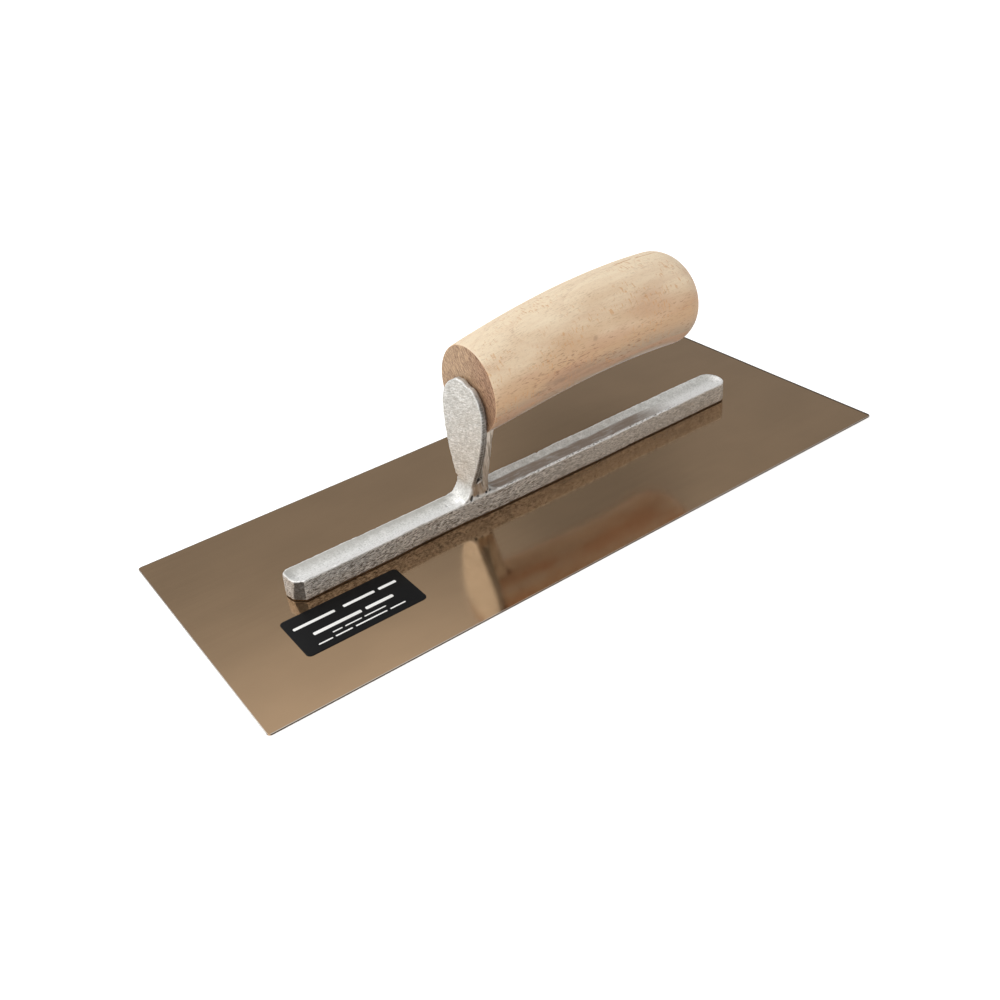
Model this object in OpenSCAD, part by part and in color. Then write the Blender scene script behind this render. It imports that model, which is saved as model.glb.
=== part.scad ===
// Flat finishing trowel: a thin rectangular blade, a cast mounting and a turned wooden handle.
// +X points from the toe, where the shank stands, to the heel. +Z points up, away from the work.
// The origin is the centre of the blade's working face.

/* [Blade] */
// Length of the blade along X
blade_l = 304.8; // [280:0.1:406.4]
// Width of the blade along Y
blade_w = 120.65; // [100:0.05:140]
// Thickness of the blade
blade_t = 0.7; // [0.5:0.1:1]
// Radius of the blade's four corners
blade_corner_r = 1.5; // [0.5:0.5:5]

/* [Mounting bar] */
// Length of the bar on the back of the blade
bar_l = 233; // [225:1:240]
// How far the bar's middle lies behind the blade's middle
bar_shift = 2; // [0:0.5:4]
// Height of the bar above the blade
bar_h = 9.5; // [9:0.5:11]
// Width of the bar at the toe
bar_toe_w = 11.6; // [11:0.1:12.5]
// Width of the bar in front of the shank
bar_waist_w = 10.8; // [10.5:0.1:11]
// Width of the bar at the heel
bar_heel_w = 13.6; // [13:0.1:15]
// How far the mounting sits beside the blade's centre line, at the blade's middle
mounting_offset = 1.2; // [0:0.1:1.5]
// Turn of the mounting on the blade, in degrees
mounting_yaw = 0.7; // [0:0.1:1]
// Length of the rounded stretch at each end of the bar
bar_round = 5.5; // [4:0.5:7]
// Depth of the shallow channel along the bar's top
channel_depth = 1.3; // [0.8:0.1:1.5]
// Width of the rim beside the channel
channel_rim = 0.8; // [0.6:0.1:1]

/* [Shank] */
// Where the shank's front face meets the height of the bar's top
shank_x = -31; // [-33:0.5:-30]
// Backward lean of the shank's front face, in degrees
shank_lean = 4.5; // [4:0.5:5]
// Height of the top of the shank's paddle above the working face
paddle_top = 61.5; // [59:0.5:63]
// Height of the paddle's widest place
paddle_wide_z = 48; // [46:0.5:50]
// Greatest width of the paddle
paddle_w = 27; // [25:0.5:29]
// Width of the neck below the paddle
neck_w = 10.4; // [9.5:0.1:10.6]
// Height of the neck's narrowest place
neck_z = 16; // [15:0.5:18]
// Thickness of the paddle at its top
paddle_t = 3.2; // [2.8:0.1:3.6]
// Radius of the hollow curve from the bar's top up to the shank's face
foot_r = 9; // [8:0.5:10]
// Thickness of the rib behind the paddle
rib_t = 6.4; // [5:0.2:7]
// Depth of the rib behind the paddle, where it enters the handle
rib_depth = 9.6; // [9:0.1:11]

/* [Handle] */
// Length of the handle
handle_l = 113; // [110:1:118]
// Radius of the handle's front end
handle_r = 18.4; // [17.5:0.1:19]
// How much the handle's radius grows towards its heel
handle_swell = 2.5; // [1:0.1:2.8]
// Height of the handle's axis at its front end
handle_z = 56.3; // [55.5:0.1:57]
// Height of the hump in the handle's axis above its front end
handle_rise = 7.3; // [6:0.1:8]
// Length of the rounding at the handle's rear end
handle_round = 12; // [8:1:14]

/* [Fasteners] */
// Number of rivets along the bar
rivet_count = 8; // [4:1:10]
// Radius of a rivet's shank
rivet_r = 2; // [1.5:0.1:2.4]
// Radius of a rivet's flush head at the working face
rivet_head_r = 3.2; // [2.8:0.1:4]
// Radius of the tang inside the handle
tang_r = 4.5; // [4.2:0.1:4.8]
// Length of the tang behind the handle's front face
tang_l = 62; // [55:1:68]
// Radius of the take-up screw's shank
screw_r = 2.5; // [2:0.1:2.6]
// Radius of the take-up screw's head
screw_head_r = 5; // [4.5:0.1:5.2]
// Radius of the washer under the screw's head
washer_r = 6.4; // [6:0.1:7]

/* [Label] */
// Length of the label along the blade
label_l = 50.8; // [40:0.1:55]
// Width of the label
label_w = 24.2; // [15:0.1:30]
// Distance from the blade's toe edge to the label
label_inset = 28; // [20:0.5:40]

/* [Hidden] */
$fn = 64;

// A little extra depth, so that a cut leaves no skin
over = 1;
bar_top = blade_t + bar_h;
bar_toe = bar_shift - bar_l / 2;
bar_heel = bar_shift + bar_l / 2;
bar_end_steps = 12;
// The bar is narrowest at its waist, and widens past the shank to the heel stretch
waist_x = -36;
step_x = -20;
step_share = 0.65;
bar_step_w = bar_waist_w + step_share * (bar_heel_w - bar_waist_w);

// The channel's half width at the bar's narrow end, and the radius of its round section
channel_half = bar_waist_w / 2 - channel_rim;
channel_r = (channel_half * channel_half + channel_depth * channel_depth) / (2 * channel_depth);
channel_floor = bar_top - channel_depth;
// The rear channel starts in a spoon end just behind the shank's rib
heel_channel_start = -19.4;

// Two flats ground on the toe: each faces an angle, at a reach from the middle of the toe
toe_flat_angle = 190.4;
toe_flat_reach = -1.57;
toe_corner_angle = 225;
toe_corner_reach = 0.15;

// The hollow foot curve touches the channel's floor and the shank's leaning face
foot_z = channel_floor + foot_r;
foot_x = shank_face_x(foot_z - foot_r * sin(shank_lean)) - foot_r * cos(shank_lean);
foot_steps = 12;
// How deep the shank's plate and its rib reach into each other, and the rise of the neck's shoulder
plate_sink = 1;
rib_sink = 2;
neck_rise = 2;
neck_ease = 0.1;

// The handle's front face leans a little with the paddle, and meets its back
face_lean = 1.7;
// The lean fades out over this share of the handle's length
lean_share = 0.25;
handle_x = shank_face_x(paddle_top) + paddle_t - (paddle_top - handle_z) * tan(face_lean);
hump_angle = 134;
swell_power = 0.6;
rear_corner = 11;
front_chamfer = 0.6;
handle_sides = 64;
handle_stations = 18;
round_stations = 10;

// The tang, the screw and their holes share one axis, which ends at the middle of the handle's rear
tang_z = handle_z - 3;
tang_tilt = atan((handle_axis_z(1) - tang_z) / handle_l);
tang_fit = 0.15;
tang_root = 1.2;
tip_room = 1.5;
thread_depth = 18;
screw_fit = 0.4;
screw_hole_r = screw_r + screw_fit;
seat_depth = 5;
washer_t = 1.2;
washer_fit = 0.3;
screw_head_t = 2.4;
slot_w = 1.2;
slot_depth = 1.3;

// The handle is slotted below the tang for the rib, with a little room behind it
slot_room = 2.5;
rib_taper = 5.5;
rib_fit = 0.3;
rib_flare = 1.5;
// The rib spreads from this height down to the bar, where it is as wide as the neck
spread_z = 18.5;

rivet_depth = 5.5;
rivet_margin = 14;
rivet_flare = 0.5;
rivet_neck_r = rivet_r + rivet_flare;
rivet_pitch = (bar_l - 2 * rivet_margin) / (rivet_count - 1);

label_t = 0.15;
label_corner_r = 2;
label_gap = 11.1;

// X of the shank's front face at a height z
function shank_face_x(z) = shank_x + (z - bar_top) * tan(shank_lean);

// X of the handle's leaning front face at a height z
function handle_face_x(z) = handle_x + (z - handle_z) * tan(face_lean);

// Height and radius of the handle at a share u of its length
function handle_axis_z(u) = handle_z + handle_rise * sin(hump_angle * u);
function handle_radius(u) = handle_r + handle_swell * pow(u, swell_power);

// How much the rear rounding takes off the radius at a share s of the rounding
function rear_loss(s) = rear_corner * (1 - sqrt(max(0, 1 - s * s)));

// Points of an arc about c from angle a to angle b
function arc(c, r, a, b, steps) =
    [for (i = [0 : steps]) c + r * [cos(a + (b - a) * i / steps), sin(a + (b - a) * i / steps)]];

// Half width of the paddle at a height z between the neck and the widest place
function paddle_half(z) =
    let (t = (z - neck_z) / (paddle_wide_z - neck_z))
    neck_w / 2 + (paddle_w - neck_w) / 2 * sin(90 * t);

// Rectangle with four rounded corners, centred
module rounded_plate(l, w, r, t) {
    linear_extrude(t)
        union() {
            square([l - 2 * r, w], center = true);
            square([l, w - 2 * r], center = true);
            for (x = [-1, 1], y = [-1, 1])
                translate([x * (l / 2 - r), y * (w / 2 - r)])
                    circle(r);
        }
}

// Places what belongs to the mounting on the blade, a little off its centre line
module on_blade() {
    translate([0, mounting_offset, 0])
        rotate([0, 0, mounting_yaw])
            children();
}

// Everything inside follows the tilted axis of the tang, with X along it from the handle's front
module along_tang() {
    translate([handle_x, 0, tang_z])
        rotate([0, -tang_tilt, 0])
            children();
}

// A round form along X, turned to a list of [radius, from, to] steps laid end to end
module turned(steps) {
    last = len(steps) - 1;
    rotate([0, 90, 0])
        rotate_extrude()
            polygon(concat(
                [[0, steps[0][1]]],
                [for (s = steps, end = [1, 2]) [s[0], s[end]]],
                [[0, steps[last][2]]]));
}

// Keeps the half of a flat profile on the +X side of its turning axis
module right_half(reach) {
    intersection() {
        children();
        translate([0, -reach])
            square([reach, 2 * reach]);
    }
}

// Repeats its children at every rivet
module at_rivets() {
    for (i = [0 : rivet_count - 1])
        translate([bar_toe + rivet_margin + i * rivet_pitch, 0, 0])
            children();
}

// One rivet: a flush countersunk head through the blade and a shank in the bar
module rivet() {
    cylinder(r1 = rivet_head_r, r2 = rivet_neck_r, h = blade_t);
    translate([0, 0, blade_t])
        cylinder(r = rivet_r, h = rivet_depth);
}

// Everything past a straight line across the toe
module past_toe(angle, reach) {
    translate([bar_toe, 0])
        rotate(angle)
            translate([reach, -bar_toe_w])
                square([bar_toe_w, 2 * bar_toe_w]);
}

// Plan of the bar's foot: straight tapering sides, elliptical ends and the flats on the toe
module bar_plan() {
    toe = arc([0, 0], 1, 90, 270, bar_end_steps);
    heel = arc([0, 0], 1, -90, 90, bar_end_steps);
    difference() {
        polygon(concat(
            [for (p = toe) [bar_toe + bar_round * (1 + p[0]), p[1] * bar_toe_w / 2]],
            [[waist_x, -bar_waist_w / 2], [step_x, -bar_step_w / 2]],
            [for (p = heel) [bar_heel + bar_round * (p[0] - 1), p[1] * bar_heel_w / 2]],
            [[step_x, bar_step_w / 2], [waist_x, bar_waist_w / 2]]));
        past_toe(toe_flat_angle, toe_flat_reach);
        past_toe(toe_corner_angle, toe_corner_reach);
    }
}

// The channel's round section, from a to b, with a spoon end at each
module channel(a, b) {
    translate([0, 0, channel_floor + channel_r])
        rotate([0, 90, 0])
            rotate_extrude()
                right_half(blade_l)
                    union() {
                        translate([0, a])
                            circle(channel_r);
                        translate([0, a])
                            square([channel_r, b - a]);
                        translate([0, b])
                            circle(channel_r);
                    }
}

// The shallow channels in front of the shank and behind it
module channels() {
    channel(bar_toe + channel_rim + channel_half, foot_x);
    channel(heel_channel_start + channel_half, bar_heel - channel_rim - channel_half);
}

// Side of the shank's plate: hollow foot, leaning face, flat back against the handle
module plate_side() {
    back_low = handle_face_x(neck_z) - plate_sink;
    polygon(concat(
        [[foot_x, blade_t + over]],
        arc([foot_x, foot_z], foot_r, -90, -shank_lean, foot_steps),
        [[shank_face_x(paddle_top), paddle_top],
         [handle_face_x(paddle_top), paddle_top],
         [handle_face_x(neck_z), neck_z],
         [back_low, blade_t + over]]));
}

// Front outline of the shank: foot, neck, widening paddle and elliptical top
module paddle_front() {
    steps = 14;
    right = concat(
        [[bar_waist_w / 2, blade_t + over],
         [bar_waist_w / 2, bar_top - neck_ease],
         [neck_w / 2 + neck_ease, bar_top + neck_rise]],
        [for (i = [0 : steps])
            let (z = neck_z + (paddle_wide_z - neck_z) * i / steps)
            [paddle_half(z), z]],
        [for (i = [1 : steps])
            let (a = 90 * i / steps)
            [paddle_w / 2 * cos(a), paddle_wide_z + (paddle_top - paddle_wide_z) * sin(a)]]);
    left = [for (i = [len(right) - 2 : -1 : 0]) [-right[i][0], right[i][1]]];
    polygon(concat(right, left));
}

// Side of the rib behind the plate, from the bar up to the tang
module rib_side() {
    rib_low_z = bar_top + rib_flare;
    rib_low_x = handle_face_x(rib_low_z) + rib_depth - rib_taper;
    rib_high_z = handle_z - handle_r;
    rib_high_x = handle_face_x(rib_high_z) + rib_depth;
    polygon(concat(
        [[handle_face_x(neck_z) - rib_sink, blade_t + over]],
        [[handle_face_x(handle_z) - plate_sink, handle_z]],
        [[rib_high_x, handle_z], [rib_high_x, rib_high_z]],
        arc([rib_low_x + rib_flare, rib_low_z], rib_flare, 180, 270, foot_steps),
        [[rib_low_x + rib_flare, blade_t + over]]));
}

// Front outline of the rib, which spreads towards the bar
module rib_front() {
    right = [
        [neck_w / 2, blade_t + over],
        [neck_w / 2, bar_top],
        [rib_t / 2, spread_z],
        [rib_t / 2, handle_z]];
    polygon(concat(right, [for (i = [3 : -1 : 0]) [-right[i][0], right[i][1]]]));
}

// Thin rectangular sheet, holed for the rivets
module blade() {
    color("#9a7c5a")
        difference() {
            rounded_plate(blade_l, blade_w, blade_corner_r, blade_t);
            on_blade()
                at_rivets()
                    cylinder(r1 = rivet_head_r, r2 = rivet_neck_r, h = blade_t);
        }
}

// One casting: bar, shank with its rib, and tang
module mounting() {
    color("#c9c9c6")
        difference() {
            union() {
                difference() {
                    translate([0, 0, blade_t])
                        linear_extrude(bar_h)
                            bar_plan();
                    channels();
                }
                intersection() {
                    rotate([90, 0, 0])
                        linear_extrude(paddle_w + over, center = true)
                            plate_side();
                    rotate([90, 0, 90])
                        linear_extrude(2 * blade_l, center = true)
                            paddle_front();
                }
                intersection() {
                    rotate([90, 0, 0])
                        linear_extrude(paddle_w, center = true)
                            rib_side();
                    rotate([90, 0, 90])
                        linear_extrude(2 * blade_l, center = true)
                            rib_front();
                }
                along_tang()
                    turned([[tang_r, -tang_root, tang_l]]);
            }
            along_tang()
                turned([[screw_r, tang_l - thread_depth, tang_l + over]]);
            at_rivets()
                translate([0, 0, blade_t])
                    cylinder(r = rivet_r, h = rivet_depth);
        }
}

// Solid of the turned handle, lofted through round stations along its humped axis
module handle_form() {
    rear_start = 1 - handle_round / handle_l;
    shares = concat(
        [0, front_chamfer / handle_l],
        [for (i = [1 : handle_stations]) rear_start * i / handle_stations],
        [for (i = [1 : round_stations]) rear_start + (1 - rear_start) * sin(90 * i / round_stations)]);
    radii = [for (u = shares)
        handle_radius(u) - (u == 0 ? front_chamfer : 0)
            - rear_loss(max(0, (u - rear_start) / (1 - rear_start)))];
    last = len(shares) - 1;
    points = [for (i = [0 : last], k = [0 : handle_sides - 1])
        let (a = 360 * k / handle_sides,
             y = radii[i] * cos(a),
             dz = radii[i] * sin(a),
             lean = tan(face_lean) * max(0, 1 - shares[i] / lean_share))
        [handle_x + handle_l * shares[i] + dz * lean, y, handle_axis_z(shares[i]) + dz]];
    sides = [for (i = [0 : last - 1], k = [0 : handle_sides - 1])
        let (n = (k + 1) % handle_sides)
        [i * handle_sides + k, (i + 1) * handle_sides + k, (i + 1) * handle_sides + n, i * handle_sides + n]];
    front = [for (k = [0 : handle_sides - 1]) k];
    rear = [for (k = [handle_sides - 1 : -1 : 0]) last * handle_sides + k];
    polyhedron(points, concat([front], sides, [rear]));
}

// Turned handle, bored for the tang and the screw and slotted for the rib
module handle() {
    slot_end = handle_face_x(handle_z - handle_r) + rib_depth + slot_room;
    color("#e0c4a0")
        difference() {
            handle_form();
            along_tang()
                turned([
                    [tang_r + tang_fit, -tang_root - over, tang_l + tip_room],
                    [screw_hole_r, tang_l + tip_room, handle_l - seat_depth],
                    [washer_r + washer_fit, handle_l - seat_depth, handle_l + over]]);
            translate([handle_x - handle_r, -rib_t / 2 - rib_fit, 0])
                cube([slot_end - handle_x + handle_r, rib_t + 2 * rib_fit, handle_z]);
        }
}

// Identical rivets, flush with the working face
module blade_rivets() {
    color("#b8b0a4")
        at_rivets()
            rivet();
}

// Slotted screw from the handle's rear into the tang
module take_up_screw() {
    head_start = handle_l - seat_depth + washer_t;
    color("#b0b0ae")
        along_tang()
            difference() {
                turned([
                    [screw_r, tang_l - thread_depth, head_start],
                    [screw_head_r, head_start, head_start + screw_head_t]]);
                translate([head_start + screw_head_t - slot_depth, -screw_head_r - over, -slot_w / 2])
                    cube([slot_depth + over, 2 * (screw_head_r + over), slot_w]);
            }
}

// Plain washer at the bottom of the handle's rear seat
module screw_washer() {
    color("#c2b080")
        along_tang()
            difference() {
                turned([[washer_r, handle_l - seat_depth, handle_l - seat_depth + washer_t]]);
                turned([[screw_hole_r, handle_l - seat_depth - over, handle_l]]);
            }
}

// Thin adhesive label beside the bar's toe
module label() {
    color("#151515")
        translate([label_inset + (label_l - blade_l) / 2,
                   -label_gap - label_w / 2,
                   blade_t])
            rounded_plate(label_l, label_w, label_corner_r, label_t);
}

blade();
on_blade() mounting();
on_blade() handle();
on_blade() blade_rivets();
on_blade() take_up_screw();
on_blade() screw_washer();
label();
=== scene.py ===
"""Looks of a flat finishing trowel: golden stainless blade, cast aluminium mounting, turned beech handle.

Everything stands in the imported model's frame, in metres. Shapes are worked out in millimetres.
"""

import math

import bmesh
import bpy
import numpy as np
import openvdb
from mathutils import Matrix, Vector


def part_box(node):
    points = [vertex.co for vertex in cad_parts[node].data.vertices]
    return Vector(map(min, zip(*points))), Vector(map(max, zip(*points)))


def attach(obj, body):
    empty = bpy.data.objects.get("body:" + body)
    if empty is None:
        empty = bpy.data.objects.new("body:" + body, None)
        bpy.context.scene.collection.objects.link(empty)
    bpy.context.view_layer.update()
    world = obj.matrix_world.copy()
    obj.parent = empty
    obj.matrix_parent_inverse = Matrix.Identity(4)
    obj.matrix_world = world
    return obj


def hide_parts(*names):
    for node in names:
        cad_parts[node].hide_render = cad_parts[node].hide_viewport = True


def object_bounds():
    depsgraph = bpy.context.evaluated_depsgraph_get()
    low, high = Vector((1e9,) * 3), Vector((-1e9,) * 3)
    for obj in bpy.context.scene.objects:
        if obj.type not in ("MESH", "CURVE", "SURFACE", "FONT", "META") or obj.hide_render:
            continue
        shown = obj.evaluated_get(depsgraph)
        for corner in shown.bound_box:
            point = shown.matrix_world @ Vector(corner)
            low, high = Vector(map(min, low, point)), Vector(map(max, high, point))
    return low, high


MM = 0.001
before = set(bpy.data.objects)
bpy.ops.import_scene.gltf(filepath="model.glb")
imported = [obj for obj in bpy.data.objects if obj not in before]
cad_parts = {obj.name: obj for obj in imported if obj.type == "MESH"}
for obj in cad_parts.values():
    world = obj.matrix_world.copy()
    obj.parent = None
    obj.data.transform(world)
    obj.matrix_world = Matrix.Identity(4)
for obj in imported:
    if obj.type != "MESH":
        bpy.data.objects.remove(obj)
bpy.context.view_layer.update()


def node_box(name):
    """A CAD node's lowest and highest corners in millimetres."""
    low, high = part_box(name)
    return np.array(low) / MM, np.array(high) / MM


# ------------------------------------------------------------------ measures
BLADE_LOW, BLADE_HIGH = node_box("blade")
LABEL_LOW, LABEL_HIGH = node_box("label")
BLADE_T = BLADE_HIGH[2]
BLADE_CORNER = 1.5

OFFSET_Y, YAW = 1.2, math.radians(0.7)
PLACE = Matrix.Translation((0, OFFSET_Y * MM, 0)) @ Matrix.Rotation(YAW, 4, "Z") @ Matrix.Scale(MM, 4)

BAR_TOE, BAR_HEEL, BAR_T = -114.5, 118.5, 9.5
BAR_TOP = BLADE_T + BAR_T
BAR_ROUND, TOE_ROUND = 5.5, 4.2
TOE_HALF, WAIST_HALF, STEP_HALF, HEEL_HALF = 5.9, 5.4, 6.31, 6.8
WAIST_X, STEP_X = -36.0, -20.0
CHANNEL_HALF, CHANNEL_DEPTH, CHANNEL_RIM = 4.6, 1.3, 0.8
CHANNEL_R = (CHANNEL_HALF**2 + CHANNEL_DEPTH**2) / (2 * CHANNEL_DEPTH)
CHANNEL_FLOOR = BAR_TOP - CHANNEL_DEPTH
HEEL_CHANNEL = -19.4

SHANK_X, SHANK_LEAN = -31.0, math.radians(4.5)
PADDLE_TOP, PADDLE_WIDE_Z, PADDLE_HALF = 61.5, 48.0, 13.5
NECK_HALF, NECK_Z = 5.2, 16.0
PADDLE_T, FOOT_R = 3.2, 9.0
RIB_T, RIB_DEPTH, RIB_TAPER, RIB_FLARE = 6.4, 9.6, 5.5, 1.5

HANDLE_L, HANDLE_R, HANDLE_SWELL, SWELL_POWER = 113.0, 18.4, 2.5, 0.6
HANDLE_Z, HANDLE_RISE, HUMP = 56.3, 7.3, math.radians(134)
FACE_LEAN = math.radians(1.7)
REAR_ROUND, REAR_CORNER = 12.0, 11.0
SEAT_DEPTH, SEAT_R, WASHER_R, WASHER_T = 5.0, 6.7, 6.4, 1.2
SCREW_R, SCREW_HEAD_R, SCREW_HEAD_T = 2.5, 5.0, 2.4
TANG_R, TANG_L, TANG_DROP = 4.5, 62.0, 3.0
RIVET_COUNT, RIVET_INSET = 8, 14.0


def shank_face_x(z):
    return SHANK_X + (z - BAR_TOP) * math.tan(SHANK_LEAN)


HANDLE_X = shank_face_x(PADDLE_TOP) + PADDLE_T - (PADDLE_TOP - HANDLE_Z) * math.tan(FACE_LEAN)


def handle_face_x(z):
    return HANDLE_X + (z - HANDLE_Z) * math.tan(FACE_LEAN)


def handle_axis_z(u):
    return HANDLE_Z + HANDLE_RISE * math.sin(HUMP * u)


TANG_Z = HANDLE_Z - TANG_DROP
TANG_TILT = math.atan((handle_axis_z(1) - TANG_Z) / HANDLE_L)
ALONG = Matrix.Translation((HANDLE_X, 0, TANG_Z)) @ Matrix.Rotation(-TANG_TILT, 4, "Y")
RIVET_STEP = (BAR_HEEL - BAR_TOE - 2 * RIVET_INSET) / (RIVET_COUNT - 1)
RIVETS_X = [BAR_TOE + RIVET_INSET + i * RIVET_STEP for i in range(RIVET_COUNT)]


# ------------------------------------------------------------------ small tools
def value_noise(points, size, seed):
    """Smooth noise from -1 to 1 at points; size is the length of one wave, per axis."""
    p = points / np.asarray(size, float) + seed * 17.31
    base = np.floor(p).astype(np.int64)
    f = p - base
    f = f * f * f * (f * (f * 6 - 15) + 10)
    total = np.zeros(len(p))
    for corner in range(8):
        step = np.array([corner & 1, corner >> 1 & 1, corner >> 2 & 1])
        c = base + step
        h = (c[:, 0] * 73856093) ^ (c[:, 1] * 19349663) ^ (c[:, 2] * 83492791) ^ (seed * 2654435761)
        h = (h ^ (h >> 13)) * 1274126177 & 0x7FFFFFFF
        h = (h ^ (h >> 15)) * 668265263 & 0x7FFFFFFF
        weight = np.prod(np.where(step, f, 1 - f), axis=1)
        total += weight * (h / 0x3FFFFFFF - 1)
    return total


def smooth_step(low, high, x):
    t = np.clip((x - low) / (high - low), 0, 1)
    return t * t * (3 - 2 * t)


def smooth_max(a, b, k):
    h = np.maximum(k - np.abs(a - b), 0) / k
    return np.maximum(a, b) + h * h * k / 4


def smooth_min(a, b, k):
    return -smooth_max(-a, -b, k)


def polygon_distance(px, py, points):
    """Signed distance to a closed polygon, negative inside."""
    best = np.full(np.broadcast(px, py).shape, 1e9)
    sign = np.ones_like(best)
    for (ax, ay), (bx, by) in zip(points, points[-1:] + points[:-1]):
        ex, ey = bx - ax, by - ay
        wx, wy = px - ax, py - ay
        t = np.clip((wx * ex + wy * ey) / (ex * ex + ey * ey + 1e-12), 0, 1)
        best = np.minimum(best, (wx - ex * t) ** 2 + (wy - ey * t) ** 2)
        above, below, side = py >= ay, py < by, ex * wy > ey * wx
        sign = np.where((above & below & side) | (~above & ~below & ~side), -sign, sign)
    return sign * np.sqrt(best)


def arc(cx, cy, r, a, b, steps=24):
    angles = [math.radians(a + (b - a) * i / steps) for i in range(steps + 1)]
    return [(cx + r * math.cos(t), cy + r * math.sin(t)) for t in angles]


def add_object(name, mesh, node, place=PLACE):
    """Puts a mesh worked out in millimetres in the frame, for the CAD node that it stands for."""
    mesh.transform(place)
    obj = bpy.data.objects.new(name, mesh)
    bpy.context.scene.collection.objects.link(obj)
    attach(obj, "root")
    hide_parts(node)
    return obj


def mesh_from(name, points, faces):
    mesh = bpy.data.meshes.new(name)
    mesh.from_pydata(points, [], faces)
    mesh.update()
    return mesh


def outward(mesh):
    bm = bmesh.new()
    bm.from_mesh(mesh)
    bmesh.ops.recalc_face_normals(bm, faces=bm.faces)
    if bm.calc_volume(signed=True) < 0:
        bmesh.ops.reverse_faces(bm, faces=bm.faces)
    bm.to_mesh(mesh)
    bm.free()
    return mesh


def block(name, xs, ys, zs):
    """A box from its two coordinates on each axis."""
    corners = [(x, y, z) for x in xs for y in ys for z in zs]
    faces = [(0, 1, 3, 2), (4, 6, 7, 5), (0, 4, 5, 1), (2, 3, 7, 6), (0, 2, 6, 4), (1, 5, 7, 3)]
    return outward(mesh_from(name, corners, faces))


def coords(mesh):
    out = np.empty(len(mesh.vertices) * 3)
    mesh.vertices.foreach_get("co", out)
    return out.reshape(-1, 3)


def normals(mesh):
    out = np.empty(len(mesh.vertices) * 3)
    mesh.vertex_normals.foreach_get("vector", out)
    return out.reshape(-1, 3)


def store(mesh, name, values):
    layer = mesh.attributes.new(name, "FLOAT", "POINT")
    layer.data.foreach_set("value", np.asarray(values, np.float32))


def smooth_by_angle(mesh, degrees):
    mesh.shade_smooth()
    mesh.set_sharp_from_angle(angle=math.radians(degrees))


def with_modifiers(obj):
    """Applies an object's modifiers to its mesh."""
    bpy.context.view_layer.update()
    made = bpy.data.meshes.new_from_object(obj.evaluated_get(bpy.context.evaluated_depsgraph_get()))
    old = obj.data
    obj.modifiers.clear()
    obj.data = made
    bpy.data.meshes.remove(old)
    return made


def subtract(obj, mesh):
    """Cuts a mesh out of an object with a modifier, and returns the object that cuts."""
    tool = bpy.data.objects.new("cutter", mesh)
    bpy.context.scene.collection.objects.link(tool)
    cut = obj.modifiers.new("cut", "BOOLEAN")
    cut.operation, cut.solver, cut.object = "DIFFERENCE", "EXACT", tool
    return tool


def lathe(profile, sides, axis="X"):
    """Closed solid turned from (radius, along) pairs. A radius of 0 closes an end."""
    points, rings = [], []
    turns = [2 * math.pi * k / sides for k in range(sides)]
    for r, along in profile:
        if r == 0:
            rings.append([len(points)])
            points.append((along, 0, 0))
            continue
        rings.append(list(range(len(points), len(points) + sides)))
        points += [(along, r * math.cos(a), r * math.sin(a)) for a in turns]
    faces = []
    for a, b in zip(rings, rings[1:]):
        for k in range(sides):
            n = (k + 1) % sides
            if len(a) == 1:
                faces.append((a[0], b[k], b[n]))
            elif len(b) == 1:
                faces.append((a[k], b[0], a[n]))
            else:
                faces.append((a[k], b[k], b[n], a[n]))
    if len(rings[0]) > 1:
        a, b = rings[0], rings[-1]
        for k in range(sides):
            n = (k + 1) % sides
            faces.append((a[n], b[n], b[k], a[k]))
    if axis == "Z":
        points = [(y, z, x) for x, y, z in points]
    return outward(mesh_from("turned", points, faces))


# ------------------------------------------------------------------ mounting
VOXEL = 0.4
GRID_MARGIN = 2.2

# Crevices between the plate's foot and the spread rib behind it, one on each side: both ends, radius
CREVICES = (
    ((-30.5, -5.4, 11.6), (-31.2, -5.7, 10.4), 0.65),
    ((-27.6, 5.4, 16.0), (-29.6, 5.9, 10.4), 0.45),
)

# Blow holes and chipped places in the casting: x, y, z, radius
PITS = (
    (-31.5, 5.3, 15.4, 1.0),
    (-29.8, 5.2, 17.2, 0.7),
    (-23.6, -5.6, 10.9, 0.7),
    (-22.6, -4.9, 11.6, 0.45),
    (-33.4, -5.6, 10.3, 0.5),
    (-36.2, -5.5, 10.0, 0.45),
    (-39.6, -5.5, 10.0, 0.4),
    (-43.5, -5.5, 10.0, 0.35),
    (72.0, -6.6, 10.0, 0.9),
    (61.0, -6.5, 10.3, 0.5),
    (34.0, -6.4, 10.2, 0.5),
    (55.0, -6.9, 1.6, 0.8),
    (-71.0, 5.7, 10.2, 0.6),
    (-96.0, -5.8, 10.1, 0.5),
    (12.0, 6.4, 10.2, 0.7),
)


def bar_half_width(x):
    return np.interp(x, (BAR_TOE, WAIST_X, STEP_X, BAR_HEEL), (TOE_HALF, WAIST_HALF, STEP_HALF, HEEL_HALF))


def bar_outline():
    toe = arc(0, 0, 1, 90, 270)
    heel = arc(0, 0, 1, -90, 90)
    return (
        [(BAR_TOE + TOE_ROUND * (1 + x), y * TOE_HALF) for x, y in toe]
        + [(WAIST_X, -WAIST_HALF), (STEP_X, -STEP_HALF)]
        + [(BAR_HEEL + BAR_ROUND * (x - 1), y * HEEL_HALF) for x, y in heel]
        + [(STEP_X, STEP_HALF), (WAIST_X, WAIST_HALF)]
    )


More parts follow.
